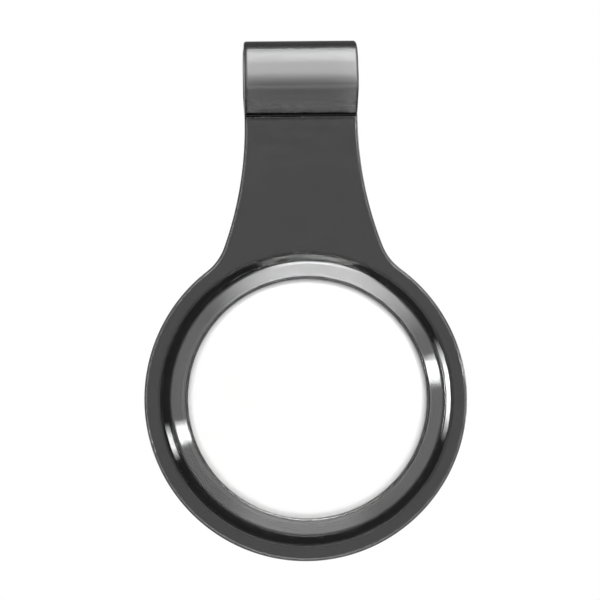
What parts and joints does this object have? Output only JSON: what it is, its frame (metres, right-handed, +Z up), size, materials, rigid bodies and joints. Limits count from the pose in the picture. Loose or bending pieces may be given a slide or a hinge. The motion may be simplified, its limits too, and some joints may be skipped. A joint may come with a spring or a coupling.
{
  "type": "tracker tag holder",
  "caption": "Soft translucent tag holder: a hanging loop and flared neck carry a round lipped socket that grips a coin-shaped tracker tag with a twist-off battery cover.",
  "frame": {"origin": "centre of the hanging loop's round tunnel, half way along it", "axes": "+Z up, from the ring to the loop; +X along the loop's tunnel; the tag's face looks to -Y"},
  "size_m": [0.04, 0.0091, 0.0647],
  "materials": {
    "smoke_tpu": "glossy smoke-grey translucent soft plastic",
    "white_shell": "satin white",
    "white_frame": "fine matte white",
    "polished_steel": "polished with fine circular brushing",
    "cell_steel": "satin nickel-plated steel",
    "plated_contact": "gold-plated spring leaf",
    "board": "dark green solder mask",
    "magnet": "nickel-plated",
    "copper_wire": "enamelled copper winding"
  },
  "bodies": {
    "holder": {"holder_body": "smoke_tpu", "front_ring": "smoke_tpu"},
    "tag": {"tag_face_shell": "white_shell", "tag_rear_frame": "white_frame", "tag_coin_cell": "cell_steel", "tag_battery_contacts": "plated_contact", "tag_circuit_board": "board", "tag_sounder_magnet": "magnet", "tag_voice_coil": "copper_wire"},
    "battery_cover": {"tag_battery_cover": "polished_steel"}
  },
  "joints": [
    {"name": "tag_push", "type": "slide", "parent": "holder", "child": "tag", "axis": [0, -1, 0], "range_m": [0, 0.012], "deforming": ["front_ring"]},
    {"name": "cover_turn", "type": "hinge", "parent": "tag", "child": "battery_cover", "pos_m": [0, -0.0008, -0.04065], "axis": [0, 1, 0], "range_deg": [0, 24]}
  ]
}
